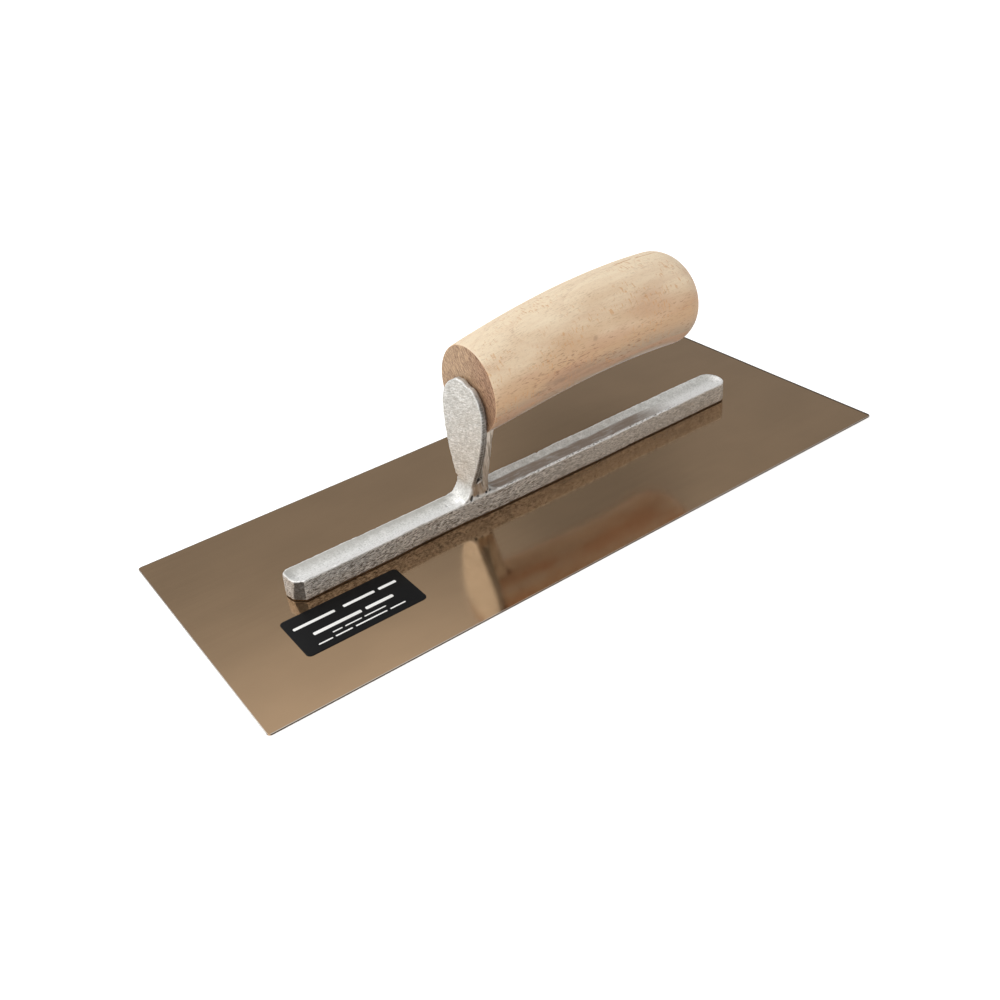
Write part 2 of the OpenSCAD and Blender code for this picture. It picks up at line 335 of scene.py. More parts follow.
def plate_outline():
    foot_z = CHANNEL_FLOOR + FOOT_R
    foot_x = shank_face_x(foot_z - FOOT_R * math.sin(SHANK_LEAN)) - FOOT_R * math.cos(SHANK_LEAN)
    return foot_x, (
        [(foot_x, BLADE_T + 1)]
        + arc(foot_x, foot_z, FOOT_R, -90, -math.degrees(SHANK_LEAN))
        + [
            (shank_face_x(PADDLE_TOP), PADDLE_TOP),
            (handle_face_x(PADDLE_TOP), PADDLE_TOP),
            (handle_face_x(NECK_Z), NECK_Z),
            (handle_face_x(NECK_Z) - 1, BLADE_T + 1),
        ]
    )


def paddle_crown(a):
    """How far the paddle's untrimmed top leaves a true curve, by angle in degrees from the near side."""
    corner = 0.9 * math.exp(-(((a - 98) / 9) ** 2))
    nick = 0.7 * math.exp(-(((a - 72) / 8) ** 2))
    return corner - nick + 0.25 * math.sin(a / 7)


def paddle_outline():
    right = [(WAIST_HALF, BLADE_T + 1), (WAIST_HALF, BAR_TOP - 0.1), (NECK_HALF + 0.1, BAR_TOP + 2)]
    for i in range(25):
        t = i / 24
        half = NECK_HALF + (PADDLE_HALF - NECK_HALF) * math.sin(math.pi / 2 * t)
        right.append((half, NECK_Z + (PADDLE_WIDE_Z - NECK_Z) * t))
    crown = []
    for i in range(1, 72):
        a = math.pi * i / 72
        away = 1 + paddle_crown(180 - math.degrees(a)) / PADDLE_HALF * math.sin(a) ** 2
        up = (PADDLE_TOP - PADDLE_WIDE_Z) * math.sin(a)
        crown.append((PADDLE_HALF * math.cos(a) * away, PADDLE_WIDE_Z + up * away))
    return right + crown + [(-y, z) for y, z in right[::-1]]


def rib_outline():
    low_z = BAR_TOP + RIB_FLARE
    low_x = handle_face_x(low_z) + RIB_DEPTH - RIB_TAPER
    high_z = HANDLE_Z - HANDLE_R
    high_x = handle_face_x(high_z) + RIB_DEPTH
    return (
        [(handle_face_x(NECK_Z) - 2, BLADE_T + 1), (handle_face_x(HANDLE_Z) - 1, HANDLE_Z)]
        + [(high_x, HANDLE_Z), (high_x, high_z)]
        + arc(low_x + RIB_FLARE, low_z, RIB_FLARE, 180, 270)
        + [(low_x + RIB_FLARE, BLADE_T + 1)]
    )


def capsule_distance(x, y, z, a, b, zc, r):
    dx = np.maximum(np.maximum(a - x, x - b), 0)
    return np.sqrt(dx**2 + y**2 + (z - zc) ** 2) - r


def segment_distance(x, y, z, a, b, r):
    """Distance to a round bar from a to b."""
    d = np.subtract(b, a)
    t = np.clip(((x - a[0]) * d[0] + (y - a[1]) * d[1] + (z - a[2]) * d[2]) / (d @ d), 0, 1)
    return np.sqrt((x - a[0] - t * d[0]) ** 2 + (y - a[1] - t * d[1]) ** 2 + (z - a[2] - t * d[2]) ** 2) - r


def mounting_field():
    """Signed distance of the whole casting on a regular grid, and the grid's corner."""
    low = np.array([BAR_TOE, -PADDLE_HALF, BLADE_T]) - GRID_MARGIN
    high = np.array([BAR_HEEL, PADDLE_HALF, PADDLE_TOP]) + GRID_MARGIN
    count = np.ceil((high - low) / VOXEL).astype(int) + 1
    steps = [(low[i] + VOXEL * np.arange(count[i])).astype(np.float32) for i in range(3)]
    x, y, z = steps[0].reshape(-1, 1, 1), steps[1].reshape(1, -1, 1), steps[2].reshape(1, 1, -1)
    # A slight wander in the pattern maker's straight lines
    bar_y = y + 0.12 * np.sin(x / 17) + 0.06 * np.sin(x / 6.1 + 1)

    plan = polygon_distance(x, bar_y, bar_outline())
    # Two ground facets at the toe, one nearly square on and one across the near corner
    plan = smooth_max(plan, 0.5 + 0.137 * (z - BLADE_T) - 0.983 * (x - BAR_TOE) - 0.18 * bar_y, 0.2)
    plan = smooth_max(plan, 0.05 * (z - BAR_TOP) - 0.3 - 0.707 * (x - BAR_TOE + bar_y), 0.2)
    # The casting does not quite meet the sheet: a fine gap runs round its foot
    plan = plan + 0.4 * smooth_step(1.4, 1.0, z)
    bar = smooth_max(plan, z - BAR_TOP, 0.5)

    foot_x, plate_points = plate_outline()
    a = BAR_TOE + CHANNEL_RIM + CHANNEL_HALF
    # Worn wide: the channels reach almost to the bar's near edge
    across = (bar_y + 0.2) * CHANNEL_HALF / (bar_half_width(x).astype(np.float32) - 0.45)
    centre_z = CHANNEL_FLOOR + CHANNEL_R
    front = capsule_distance(x, across, z, a, foot_x, centre_z, CHANNEL_R)
    a, b = HEEL_CHANNEL + CHANNEL_HALF, BAR_HEEL - CHANNEL_RIM - CHANNEL_HALF
    rear = capsule_distance(x, across, z, a, b, centre_z, CHANNEL_R)
    bar = smooth_max(bar, -np.minimum(front, rear), 0.2)

    side = polygon_distance(x, z, plate_points)
    face = polygon_distance(y, z, paddle_outline())
    plate = smooth_max(side, face, 0.4)
    # The plate itself is thin: behind it only a smaller pad carries the handle
    behind = x - (SHANK_X + (z - BAR_TOP) * math.tan(SHANK_LEAN)) - 2.3
    recess = np.maximum(-behind, np.maximum(-1.5 - face, 16.5 + 0.5 * behind - z))
    plate = smooth_max(plate, -recess, 0.4)
    # The rib spreads at its foot until it is flush with the bar's side
    spread = 2.5 * smooth_step(18.5, 11, z) * smooth_step(-20, -23.5, x)
    rib = smooth_max(polygon_distance(x, z, rib_outline()), np.abs(y) - RIB_T / 2 - spread, 1.0)
    whole = smooth_min(bar, plate, 0.8)
    whole = smooth_min(whole, rib, 1.2)

    # Tang, on its tilted axis inside the handle, without the screw's hole
    dx, dz = x - HANDLE_X, z - TANG_Z
    along = dx * math.cos(TANG_TILT) + dz * math.sin(TANG_TILT)
    up = dz * math.cos(TANG_TILT) - dx * math.sin(TANG_TILT)
    tang = np.maximum(np.sqrt(y**2 + up**2) - TANG_R, np.maximum(-1.2 - along, along - TANG_L))
    whole = np.minimum(whole, tang)

    for start, end, r in CREVICES:
        whole = smooth_max(whole, -segment_distance(x, y, z, start, end, r), 0.3)
    for px, py, pz, r in PITS:
        pit = np.sqrt((x - px) ** 2 + ((y - py) * 1.1) ** 2 + (z - pz) ** 2) - r
        whole = smooth_max(whole, -pit, 0.4)
    return smooth_max(whole, BLADE_T - z, 0.25), low


def cast_surface(points, normal):
    """How far each point of the casting stands proud, and its share of each kind of surface."""
    x, y, z = points.T
    side = smooth_step(0.55, 0.85, np.abs(normal[:, 1])) * smooth_step(11.5, 9.5, z)
    side = np.maximum(side, smooth_step(0.5, 0.3, normal[:, 2]) * (x < -100))
    wall = smooth_step(0.6, 0.9, np.abs(normal[:, 1])) * smooth_step(15, 20, z) * smooth_step(-22.5, -24, x)
    top = smooth_step(0.5, 0.9, normal[:, 2])
    proud = 0.07 * value_noise(points, 9, 1) + 0.045 * value_noise(points, 3.1, 2)
    proud += (0.05 * value_noise(points, 1.5, 3) + 0.035 * value_noise(points, 0.9, 4)) * (1 - 0.75 * side)
    # The channel is rubbed smoother than the rims and the paddle
    proud *= 1 - 0.45 * top * (np.abs(y) < CHANNEL_HALF)
    # Ground sides carry long scratches, and the paddle's thin wall carries chatter marks
    proud += side * 0.06 * value_noise(points, (9.0, 0.8, 0.8), 5)
    proud += side * 0.05 * value_noise(np.stack([x + 2.2 * z, y, z], 1), (1.8, 2.0, 40.0), 6)
    proud += wall * 0.05 * np.sin(2 * math.pi * z / 1.25 + 1.6 * value_noise(points, 5, 7))
    # File marks run across the paddle's face
    face = smooth_step(-0.6, -0.9, normal[:, 0]) * smooth_step(13, 18, z)
    proud += face * 0.035 * value_noise(points, (9, 3.5, 1.0), 9)
    edge = bar_half_width(x)
    rim = smooth_step(1.0, 0.5, edge - np.abs(y)) * smooth_step(9.3, 9.8, z) * smooth_step(12, 10.6, z)
    # The near rim behind the shank is burred and chipped
    burr = smooth_step(1.9, 1.2, edge + y) * smooth_step(9.3, 9.7, z) * smooth_step(12, 10.6, z)
    burr = burr * (normal[:, 2] > 0.2) * smooth_step(-19.5, -17, x) * smooth_step(92, 80, x)
    proud += (rim + burr) * 0.12 * np.minimum(value_noise(points, (1.9, 3, 3), 8), 0.5)
    proud -= burr * 0.35 * smooth_step(0.2, 0.65, value_noise(points, (3.4, 4, 4), 10))
    # Painted shade and reflection of the handle: the near half of the rear channel, left darker and brownish
    wander = 0.5 * value_noise(points, (7, 40, 40), 11)
    painted_handle_shade = smooth_step(2.5, 1.7, y + wander) * smooth_step(0.4, 0.9, edge + y) * (normal[:, 2] > 0.3)
    painted_handle_shade = painted_handle_shade * smooth_step(10.5, 10, z) * smooth_step(-21, -18, x) * smooth_step(88, 60, x)
    # The toe's near corner facet, which takes painted shade
    facet = smooth_step(-0.55, -0.65, normal[:, 0]) * smooth_step(-0.55, -0.65, normal[:, 1])
    facet = facet * (x < -100)
    # Painted highlight: light from behind picks out the near half of the front channel
    bowl = smooth_step(3.6, -2.5, y + 0.3 * wander) * top * np.maximum(x < -34, smooth_step(62, 90, x))
    # The front channel's far wall, which takes painted shade
    far_wall = smooth_step(2.2, 4.4, y) * smooth_step(0.4, 0.9, edge - y) * top * (x < -34)
    # The rib's sides, and all of its spread foot
    rib = smooth_step(0.4, 0.7, np.abs(normal[:, 1])) * smooth_step(10.4, 11.5, z)
    rib = rib * smooth_step(-25.6, -24.6, x)
    rib = np.maximum(rib, smooth_step(10.6, 11.4, z) * smooth_step(20, 17, z) * smooth_step(-30.5, -29.5, x))
    rib = rib * (z < 38) * (1 - wall)
    shares = {"side": side, "wall": wall, "rim": rim, "burr": burr, "painted_handle_shade": painted_handle_shade, "face": face}
    shares.update({"facet": facet, "bowl": bowl, "far_wall": far_wall, "rib": rib})
    return proud, shares


def make_mounting():
    field, low = mounting_field()
    band = 3 * VOXEL
    grid = openvdb.FloatGrid(band)
    grid.copyFromArray(np.ascontiguousarray(np.clip(field, -band, band), np.float32))
    points, quads = grid.convertToQuads(isovalue=0.0)
    points = points * VOXEL + low
    mesh = outward(mesh_from("mounting_cast", points.tolist(), quads[:, ::-1].tolist()))
    points, normal = coords(mesh), normals(mesh)
    proud, shares = cast_surface(points, normal)
    foot = smooth_step(BLADE_T + 0.1, BLADE_T + 0.6, points[:, 2])
    points = points + normal * (proud * foot)[:, None]
    mesh.vertices.foreach_set("co", points.ravel())
    mesh.update()
    # Cavities, which take painted shade: where the surface lies below its own neighbourhood
    edges = np.empty(len(mesh.edges) * 2, np.int64)
    mesh.edges.foreach_get("vertices", edges)
    a, b = edges.reshape(-1, 2).T
    smooth = points.copy()
    for _ in range(6):
        total = np.zeros_like(points)
        np.add.at(total, a, smooth[b])
        np.add.at(total, b, smooth[a])
        around = np.bincount(np.concatenate([a, b]), minlength=len(points))
        smooth = total / around[:, None]
    hollow = np.einsum("ij,ij->i", smooth - points, normals(mesh))
    for name, share in shares.items():
        store(mesh, name, share)
    store(mesh, "hollow", np.clip(hollow / 0.25, -1, 1))
    mesh.shade_smooth()
    return add_object("mounting_cast", mesh, "mounting")


# ------------------------------------------------------------------ handle
def handle_ring(u, sides):
    radius = HANDLE_R + HANDLE_SWELL * u**SWELL_POWER
    start = 1 - REAR_ROUND / HANDLE_L
    s = max(0.0, (u - start) / (1 - start))
    radius -= REAR_CORNER * (1 - math.sqrt(max(0.0, 1 - s * s)))
    along = u * HANDLE_L
    if along < 0.6:
        radius -= 0.6 - math.sqrt(max(0.0, 0.36 - (0.6 - along) ** 2))
    lean = math.tan(FACE_LEAN) * max(0.0, 1 - u / 0.25)
    ring = []
    for k in range(sides):
        a = 2 * math.pi * k / sides
        dy, dz = radius * math.cos(a), radius * math.sin(a)
        ring.append((HANDLE_X + along + dz * lean, dy, handle_axis_z(u) + dz))
    return ring


def handle_stations():
    start = 1 - REAR_ROUND / HANDLE_L
    front = [a / HANDLE_L for a in (0, 0.06, 0.18, 0.36, 0.6)]
    middle = [0.6 / HANDLE_L + (start - 0.6 / HANDLE_L) * i / 70 for i in range(1, 71)]
    rear = [start + (1 - start) * math.sin(math.pi / 2 * i / 28) for i in range(1, 29)]
    return front + middle + rear


def end_cap(points, faces, ring, sides, flip):
    """Closes a ring with shrinking rings to its middle, so that the end takes fine shading."""
    outer = np.array([points[i] for i in ring])
    centre = np.mean(outer, axis=0)
    for share in (0.85, 0.65, 0.4, 0.18):
        start = len(points)
        points += [tuple(p) for p in centre + (outer - centre) * share]
        new = list(range(start, start + sides))
        for k in range(sides):
            n = (k + 1) % sides
            quad = (ring[k], ring[n], new[n], new[k])
            faces.append(quad[::-1] if flip else quad)
        ring = new
    points.append(tuple(centre))
    for k in range(sides):
        tri = (ring[k], ring[(k + 1) % sides], len(points) - 1)
        faces.append(tri[::-1] if flip else tri)


def make_handle():
    sides = 160
    points, faces, rings = [], [], []
    for u in handle_stations():
        rings.append(list(range(len(points), len(points) + sides)))
        points += handle_ring(u, sides)
    for a, b in zip(rings, rings[1:]):
        for k in range(sides):
            n = (k + 1) % sides
            faces.append((a[k], b[k], b[n], a[n]))
    end_cap(points, faces, rings[0], sides, False)
    end_cap(points, faces, rings[-1], sides, True)
    mesh = outward(mesh_from("handle_beech", points, faces))
    obj = bpy.data.objects.new("handle_beech", mesh)
    bpy.context.scene.collection.objects.link(obj)

    bore = lathe(
        [(0, -3)]
        + [(TANG_R + 0.15, -3), (TANG_R + 0.15, TANG_L + 1.5), (SCREW_R + 0.4, TANG_L + 1.5)]
        + [(SCREW_R + 0.4, HANDLE_L - SEAT_DEPTH), (SEAT_R, HANDLE_L - SEAT_DEPTH), (SEAT_R, HANDLE_L - 0.7)]
        + [(SEAT_R + 0.25, HANDLE_L - 0.25), (SEAT_R + 3, HANDLE_L + 2.5), (0, HANDLE_L + 2.5)],
        64,
    )
    bore.transform(ALONG)
    slot_end = handle_face_x(HANDLE_Z - HANDLE_R) + RIB_DEPTH + 2.5
    half = RIB_T / 2 + 0.3
    slot = block("slot", (HANDLE_X - 3, slot_end), (-half, half), (HANDLE_Z - HANDLE_R - 4, HANDLE_Z))
    for cutter in (bore, slot):
        tool = subtract(obj, cutter)
        mesh = with_modifiers(obj)
        bpy.data.objects.remove(tool)
    bpy.data.objects.remove(obj)

    points, normal = coords(mesh), normals(mesh)
    x = points[:, 0]
    outer = (x > HANDLE_X + 0.3) & (np.hypot(points[:, 1], points[:, 2] - HANDLE_Z) > 12)
    # Hand sanding leaves it slightly uneven, and nowhere larger than the plain shape
    proud = 0.05 * value_noise(points, (26, 11, 11), 21) + 0.02 * value_noise(points, (9, 5, 5), 22) - 0.03
    points = points + normal * (proud * outer)[:, None]
    mesh.vertices.foreach_set("co", points.ravel())
    mesh.update()
    smooth_by_angle(mesh, 38)
    return add_object("handle_beech", mesh, "handle")


# ------------------------------------------------------------------ blade
def graded(half, corner, steps):
    """Coordinates from -half to half, close together near both ends."""
    end = [0, 0.12, 0.3, 0.7, 1.1, corner, corner + 1.2]
    low = [-half + e for e in end]
    inner = np.linspace(low[-1], -low[-1], steps)[1:-1].tolist()
    return low + inner + [-v for v in low[::-1]]


def make_blade():
    half = (BLADE_HIGH[:2] - BLADE_LOW[:2]) / 2
    middle = (BLADE_HIGH[:2] + BLADE_LOW[:2]) / 2
    xs, ys = graded(half[0], BLADE_CORNER, 150), graded(half[1], BLADE_CORNER, 60)
    points, faces = [], []
    for level in (0, 1):
        for x in xs:
            depth = max(0.0, abs(x) - (half[0] - BLADE_CORNER))
            reach = half[1] - BLADE_CORNER + math.sqrt(max(0.0, BLADE_CORNER**2 - depth**2))
            for y in ys:
                points.append((x + middle[0], y * reach / half[1] + middle[1], BLADE_T * level))
    nx, ny = len(xs), len(ys)

    def at(i, j, level):
        return level * nx * ny + i * ny + j

    for i in range(nx - 1):
        for j in range(ny - 1):
            faces.append((at(i, j, 1), at(i + 1, j, 1), at(i + 1, j + 1, 1), at(i, j + 1, 1)))
            faces.append((at(i, j + 1, 0), at(i + 1, j + 1, 0), at(i + 1, j, 0), at(i, j, 0)))
    rim = [(i, 0) for i in range(nx)] + [(nx - 1, j) for j in range(1, ny)]
    rim += [(i, ny - 1) for i in range(nx - 2, -1, -1)] + [(0, j) for j in range(ny - 2, 0, -1)]
    for a, b in zip(rim, rim[1:] + rim[:1]):
        faces.append((at(*a, 0), at(*b, 0), at(*b, 1), at(*a, 1)))
    mesh = outward(mesh_from("blade_sheet", points, faces))
    obj = bpy.data.objects.new("blade_sheet", mesh)
    bpy.context.scene.collection.objects.link(obj)
    bevel = obj.modifiers.new("worn_edge", "BEVEL")
    bevel.width, bevel.segments, bevel.limit_method, bevel.angle_limit = 0.16, 2, "ANGLE", math.radians(60)
    mesh = with_modifiers(obj)
    bpy.data.objects.remove(obj)

    points = coords(mesh)
    # Rolled sheet is never quite flat: long shallow waves, none of them under the bar
    off_bar = smooth_step(7, 22, np.abs(points[:, 1] - OFFSET_Y))
    flat = points * (1, 1, 0)
    wave = 0.07 * value_noise(flat, (75, 42, 1), 31) + 0.02 * value_noise(flat, (30, 22, 1), 32)
    points[:, 2] = np.maximum(points[:, 2] + (wave + 0.045) * off_bar, 0)
    mesh.vertices.foreach_set("co", points.ravel())
    mesh.update()
    inset = np.min(half - np.abs(points[:, :2] - middle), axis=1)
    store(mesh, "edge", smooth_step(0.3, 0.1, inset))
    store(mesh, "heel", smooth_step(1.3, 0.7, half[0] + middle[0] - points[:, 0]))
    smooth_by_angle(mesh, 40)
    return add_object("blade_sheet", mesh, "blade", Matrix.Scale(MM, 4))


# ------------------------------------------------------------------ label
def rounded_rectangle(low, high, r, steps=8):
    (x0, y0), (x1, y1) = low, high
    return (
        arc(x1 - r, y0 + r, r, -90, 0, steps)
        + arc(x1 - r, y1 - r, r, 0, 90, steps)
        + arc(x0 + r, y1 - r, r, 90, 180, steps)
        + arc(x0 + r, y0 + r, r, 180, 270, steps)
    )


def raised_plate(outline, bottom, top, soft):
    """A thin plate with a rounded upper edge."""
    centre = np.mean(outline, axis=0)
    points, faces = [], []
    levels = [(0, bottom), (0, top - soft), (soft * 0.3, top - soft * 0.3), (soft, top)]
    for inset, z in levels:
        for p in outline:
            away = centre - np.array(p)
            step = inset * np.sign(away)
            points.append((p[0] + step[0], p[1] + step[1], z))
    n = len(outline)
    for level in range(len(levels) - 1):
        for k in range(n):
            m = (k + 1) % n
            a, b = level * n, (level + 1) * n
            faces.append((a + k, a + m, b + m, b + k))
    faces.append(tuple(range(n - 1, -1, -1)))
    faces.append(tuple(range((len(levels) - 1) * n, len(levels) * n)))
    return points, faces


# Plain bars where a label would carry lines of print: x from, x to, y, height, from the toe-far corner
LABEL_BARS = (
    (2.6, 20.0, 7.1, 1.5),
    (23.6, 37.2, 7.1, 1.5),
    (39.0, 46.8, 7.1, 1.5),
    (7.4, 27.6, 14.0, 1.7),
    (29.4, 41.4, 14.0, 1.7),
    (13.4, 17.4, 17.7, 0.6),
    (18.6, 25.6, 17.7, 0.6),
    (26.8, 36.0, 17.7, 0.6),
    (6.2, 12.0, 20.4, 0.7),
    (13.2, 20.2, 20.4, 0.7),
    (21.6, 35.0, 20.4, 0.7),
    (36.4, 43.0, 20.4, 0.7),
)


def make_label():
    low, high = LABEL_LOW, LABEL_HIGH
    outline = rounded_rectangle(low[:2], high[:2], 2)
    points, faces = raised_plate(outline, low[2], high[2], 0.06)
    plate_faces = len(faces)
    for x0, x1, y, h in LABEL_BARS:
        bar = rounded_rectangle(
            (low[0] + x0, high[1] - y - h / 2), (low[0] + x1, high[1] - y + h / 2), h * 0.3, 4
        )
        more, more_faces = raised_plate(bar, high[2] - 0.01, high[2] + 0.02, 0.01)
        faces += [tuple(i + len(points) for i in f) for f in more_faces]
        points += more
    mesh = mesh_from("label_plate", points, faces)
    index = np.zeros(len(faces), np.int32)
    index[plate_faces:] = 1
    outward(mesh)
    mesh.materials.append(MATERIALS["label"])
    mesh.materials.append(MATERIALS["print"])
    mesh.polygons.foreach_set("material_index", index)
    smooth_by_angle(mesh, 35)
    return add_object("label_plate", mesh, "label", Matrix.Scale(MM, 4))


# ------------------------------------------------------------------ fasteners
def make_rivets():
    """Rivets with slightly dished heads. The sheet is drawn without their holes, so it covers them."""
    bm = bmesh.new()
    for x in RIVETS_X:
        head = lathe(
            [(0, 0.05), (2.2, 0.05), (2.9, 0.0), (3.1, 0.02), (3.15, 0.1), (2.5, BLADE_T)]
            + [(2, BLADE_T), (2, BLADE_T + 5.3), (1.7, BLADE_T + 5.5), (0, BLADE_T + 5.5)],
            48,
            "Z",
        )
        head.transform(Matrix.Translation((x, 0, 0)))
        bm.from_mesh(head)
        bpy.data.meshes.remove(head)
    mesh = bpy.data.meshes.new("rivets")
    bm.to_mesh(mesh)
    bm.free()
    smooth_by_angle(mesh, 30)
    return add_object("rivet_heads", mesh, "blade_rivets")


def make_screw():
    start = HANDLE_L - SEAT_DEPTH + WASHER_T
    end = start + SCREW_HEAD_T
    body = lathe(
        [(0, TANG_L - 18), (SCREW_R, TANG_L - 18), (SCREW_R, start), (SCREW_HEAD_R - 0.25, start)]
        + [(SCREW_HEAD_R, start + 0.25), (SCREW_HEAD_R, end - 0.7), (SCREW_HEAD_R - 0.35, end - 0.25)]
        + [(SCREW_HEAD_R - 1.2, end - 0.05), (2, end), (0, end)],
        64,
    )
    obj = bpy.data.objects.new("take_up_screw", body)
    bpy.context.scene.collection.objects.link(obj)
    x0, x1, y, z = end - 1.3, end + 1, SCREW_HEAD_R + 1, 0.6
    tool = subtract(obj, block("slot_cutter", (x0, x1), (-y, y), (-z, z)))
    bevel = obj.modifiers.new("soft", "BEVEL")
    bevel.width, bevel.segments, bevel.limit_method, bevel.angle_limit = 0.09, 2, "ANGLE", math.radians(50)
    mesh = with_modifiers(obj)
    bpy.data.objects.remove(tool)
    bpy.data.objects.remove(obj)
    smooth_by_angle(mesh, 35)
    mesh.transform(ALONG)
    return add_object("take_up_screw_head", mesh, "take_up_screw")


def make_washer():
    start = HANDLE_L - SEAT_DEPTH
    inner, outer, soft = SCREW_R + 0.4, WASHER_R, 0.18
    end = start + WASHER_T
    mesh = lathe(
        [(inner, start + soft), (inner + soft, start), (outer - soft, start), (outer, start + soft)]
        + [(outer, end - 0.35), (outer - 0.1, end - 0.12), (outer - 0.35, end)]
        + [(inner + soft, end), (inner, end - soft)],
        72,
    )
    mesh.transform(ALONG)
    smooth_by_angle(mesh, 35)
    return add_object("screw_washer_ring", mesh, "screw_washer")


# ------------------------------------------------------------------ materials
RANGE_SOCKETS = ("From Min", "From Max", "To Min", "To Max")


class Shader:
    """A small helper that builds one procedural material, with object coordinates in millimetres."""

    def __init__(self, name):
        self.material = bpy.data.materials.new(name)
        self.material.use_nodes = True
        self.tree = self.material.node_tree
        self.bsdf = self.tree.nodes["Principled BSDF"]
        self.place = self.node("ShaderNodeTexCoord").outputs["Object"]

    def node(self, kind, **values):
        made = self.tree.nodes.new(kind)
        for key, value in values.items():
            setattr(made, key, value)
        return made

    def link(self, source, target):
        self.tree.links.new(source, target)

    def feed(self, target, value):
        if isinstance(value, (int, float, tuple)):
            target.default_value = value
        else:
            self.link(value, target)

    def scaled(self, size, turn=(0, 0, 0), centre=(0, 0, 0)):
        """Coordinates in waves: size is the length of one wave in millimetres, per axis."""
        made = self.node("ShaderNodeMapping", vector_type="TEXTURE")
        made.inputs["Location"].default_value = [c * MM for c in centre]
        made.inputs["Scale"].default_value = [s * MM for s in size]
        made.inputs["Rotation"].default_value = turn
        self.link(self.place, made.inputs["Vector"])
        return made.outputs["Vector"]

    def noise(self, size, detail=3.0, rough=0.5, distortion=0.0, turn=(0, 0, 0)):
        made = self.node("ShaderNodeTexNoise")
        self.link(self.scaled(size, turn), made.inputs["Vector"])
        made.inputs["Scale"].default_value = 1.0
        made.inputs["Detail"].default_value = detail
        made.inputs["Roughness"].default_value = rough
        made.inputs["Distortion"].default_value = distortion
        return made.outputs["Fac"]

    def spot(self, centre, reach, turn=(0, 0, 0)):
        """1 in the middle of an ellipsoid, 0 past its reach; both in millimetres."""
        length = self.node("ShaderNodeVectorMath", operation="LENGTH")
        self.link(self.scaled(reach, turn, centre), length.inputs[0])
        return self.span(length.outputs["Value"], 1.0, 0.3)

    def span(self, value, low, high, to_low=0.0, to_high=1.0):
        made = self.node("ShaderNodeMapRange", interpolation_type="SMOOTHSTEP", clamp=True)
        for socket, number in zip(RANGE_SOCKETS, (low, high, to_low, to_high)):
            made.inputs[socket].default_value = number
        self.link(value, made.inputs["Value"])
        return made.outputs["Result"]

    def math(self, operation, a, b=0.0):
        made = self.node("ShaderNodeMath", operation=operation)
        self.feed(made.inputs[0], a)
        self.feed(made.inputs[1], b)
        return made.outputs[0]

    def times(self, *values):
        product = values[0]
        for value in values[1:]:
            product = self.math("MULTIPLY", product, value)
        return product

    def mix(self, share, a, b):
        made = self.node("ShaderNodeMix", data_type="RGBA")
        self.feed(made.inputs["Factor"], share)
        self.feed(made.inputs[6], a)
        self.feed(made.inputs[7], b)
        return made.outputs[2]

    def attribute(self, name):
        made = self.node("ShaderNodeAttribute", attribute_name=name)
        return made.outputs["Fac"]

    def normal_axis(self, axis):
        geometry = self.node("ShaderNodeNewGeometry")
        split = self.node("ShaderNodeSeparateXYZ")
        self.link(geometry.outputs["Normal"], split.inputs[0])
        return split.outputs[axis]

    def axis(self, axis):
        split = self.node("ShaderNodeSeparateXYZ")
        self.link(self.scaled((1, 1, 1)), split.inputs[0])
        return split.outputs[axis]

    def bump(self, *layers):
        """Stacks bumps: each layer is (height, depth in millimetres)."""
        last = None
        for height, depth in layers:
            made = self.node("ShaderNodeBump")
            made.inputs["Strength"].default_value = 1.0
            made.inputs["Distance"].default_value = depth * MM
            self.link(height, made.inputs["Height"])
            if last:
                self.link(last, made.inputs["Normal"])
            last = made.outputs["Normal"]
        self.link(last, self.bsdf.inputs["Normal"])

    def finish(self, **sockets):
        for name, value in sockets.items():
            self.feed(self.bsdf.inputs[name.replace("_", " ")], value)
        return self.material


def srgb(r, g, b):
    """A display colour as linear light."""
    line = [(c / 255 / 12.92) if c <= 10 else ((c / 255 + 0.055) / 1.055) ** 2.4 for c in (r, g, b)]
    return (*line, 1.0)


def blade_material():
    s = Shader("golden_steel")
    edge = s.attribute("edge")
    brushed = s.noise((90, 0.35, 5), 4, 0.6)
    cloud = s.noise((38, 26, 30), 3, 0.5)
    # Painted shade beside the bar: a darker patch for the dim reflection there, made rougher as well
    y = s.math("ABSOLUTE", s.axis("Y"))
    beside = s.times(s.span(y, 16, 7), s.span(s.noise((14, 3, 8), 4, 0.6), 0.42, 0.66))
    beside = s.times(beside, s.span(s.axis("X"), -40, -20), s.span(s.axis("X"), 104, 88))
    colour = s.mix(s.span(cloud, 0.3, 0.7), srgb(180, 151, 120), srgb(186, 156, 124))
    colour = s.mix(s.times(s.span(brushed, 0.35, 0.75), 0.12), colour, srgb(200, 172, 138))
    colour = s.mix(s.times(beside, 0.35), colour, srgb(128, 108, 88))
    # Painted highlight on the sheet's edges where the bevel faces up, and painted shade on its upright sides
    upright = s.span(s.math("ABSOLUTE", s.normal_axis("Z")), 0.5, 0.2)
    rim = s.mix(upright, srgb(228, 222, 214), srgb(84, 72, 60))
    colour = s.mix(edge, colour, rim)
    colour = s.mix(s.times(s.attribute("heel"), 0.85), colour, srgb(88, 72, 58))
    scratches = s.span(s.noise((60, 0.22, 4), 2, 0.5, 0.15, (0, 0, 0.06)), 0.70, 0.78)
    rough = s.span(brushed, 0.3, 0.7, 0.09, 0.13)
    rough = s.math("ADD", rough, s.times(beside, 0.2))
    s.bump((brushed, 0.0010), (scratches, 0.0008))
    return s.finish(Base_Color=colour, Metallic=1.0, Roughness=rough, Anisotropic=0.3)


